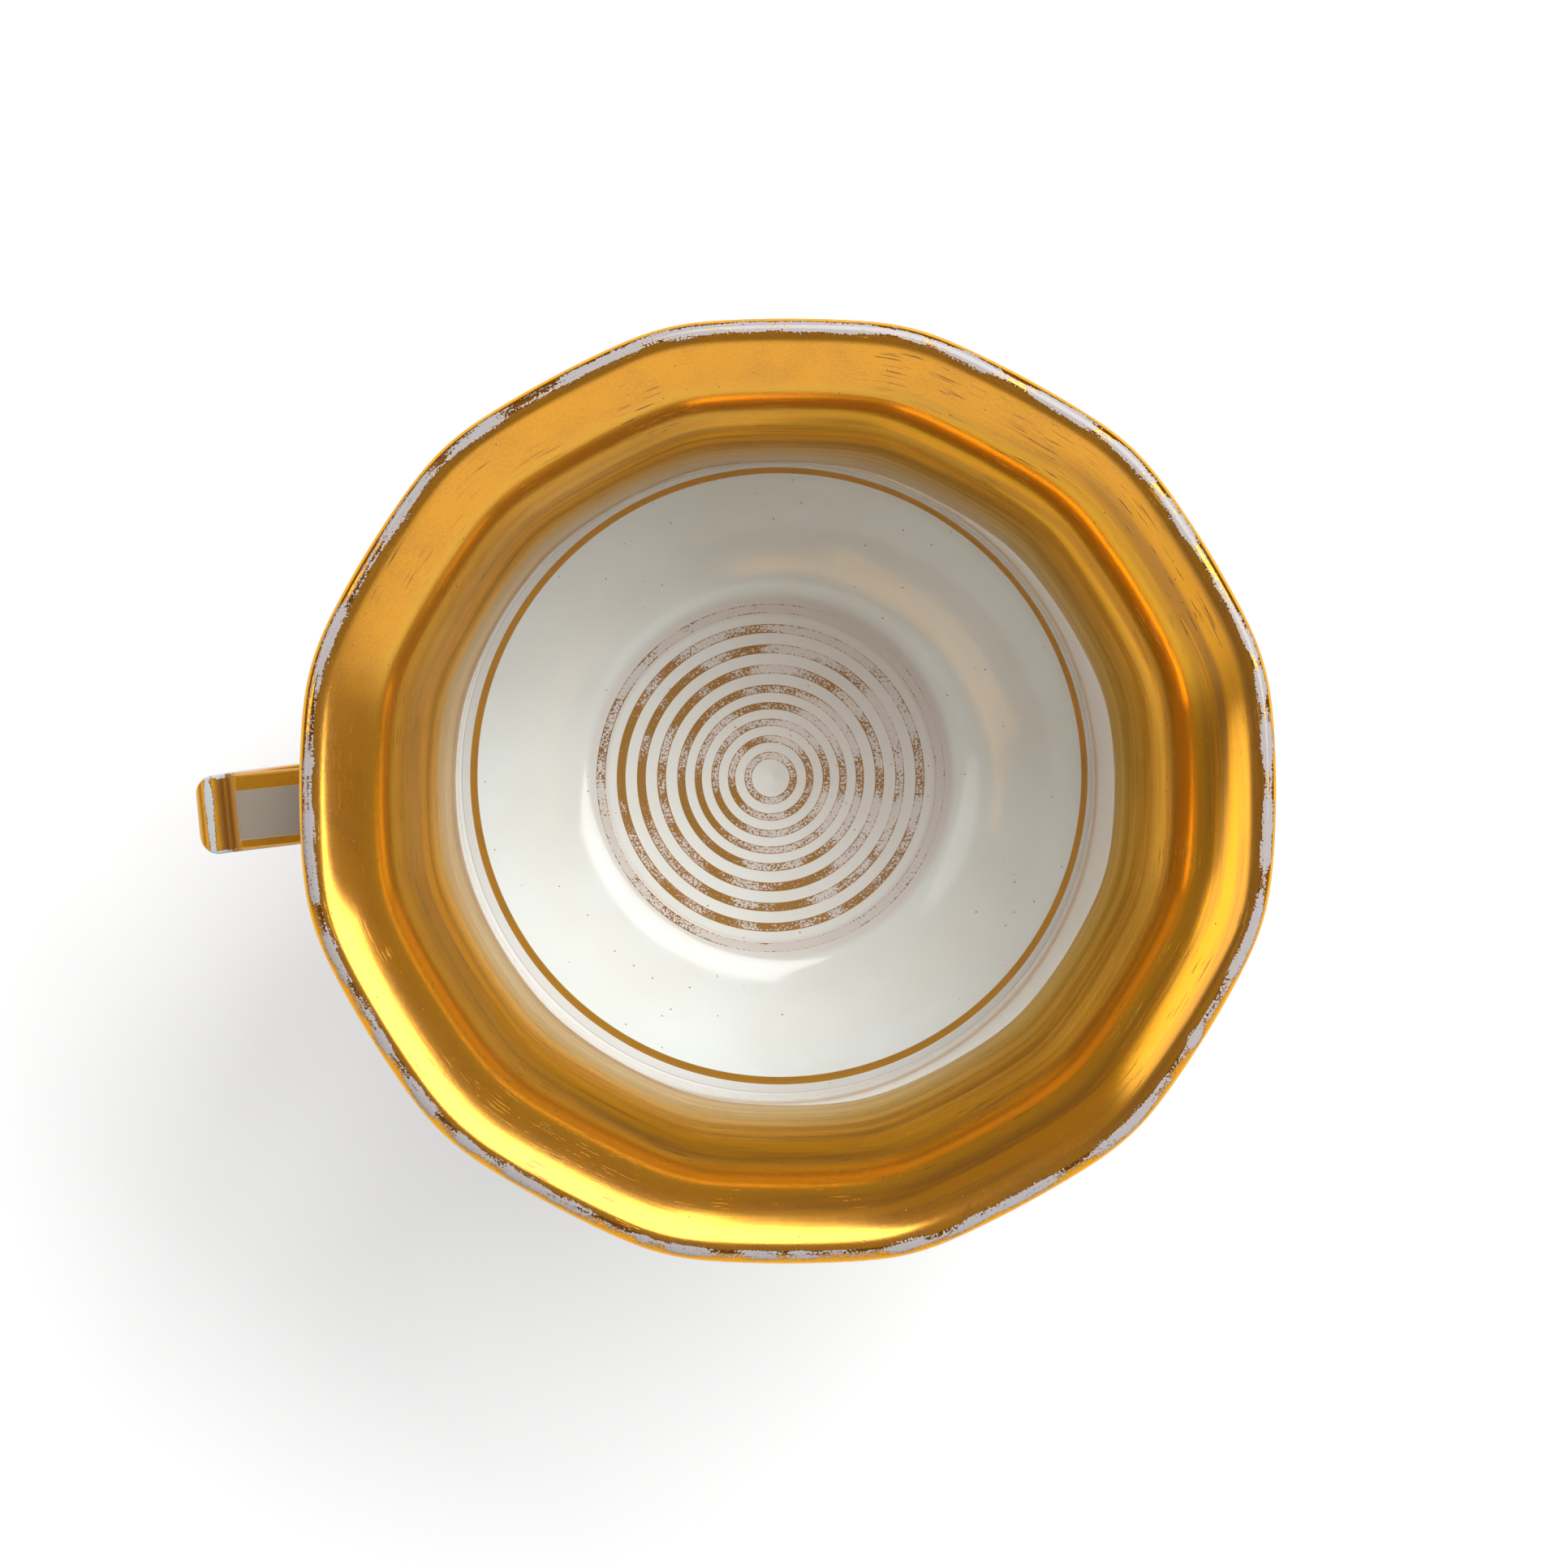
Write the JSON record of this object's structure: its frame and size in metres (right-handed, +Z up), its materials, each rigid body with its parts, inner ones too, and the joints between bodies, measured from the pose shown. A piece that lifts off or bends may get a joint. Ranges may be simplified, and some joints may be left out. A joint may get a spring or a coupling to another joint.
{
  "type": "tea cup",
  "caption": "Footed porcelain tea cup with an everted faceted lip, a bell-shaped bowl gilded inside, a spreading hollow foot and a flat strap handle with a thumb roll.",
  "frame": {"origin": "middle of the footprint's box, on the plane that the foot stands on; the cup's own axis stands 5.69 mm from it towards +X", "axes": "+Z up through the mouth, along the cup's axis; the handle points towards -X; +Y completes the frame"},
  "size_m": [0.1094, 0.0948, 0.074],
  "materials": {
    "glazed_porcelain": "clear glossy glaze, gilded inside",
    "gilded_porcelain": "worn burnished gilding over white glaze",
    "fired_slip": "glazed over"
  },
  "bodies": {
    "root": {"bowl": "glazed_porcelain", "foot": "glazed_porcelain", "foot_slip": "fired_slip", "handle": "gilded_porcelain", "upper_slip_collar": "fired_slip", "lower_slip_collar": "fired_slip"}
  },
  "joints": []
}
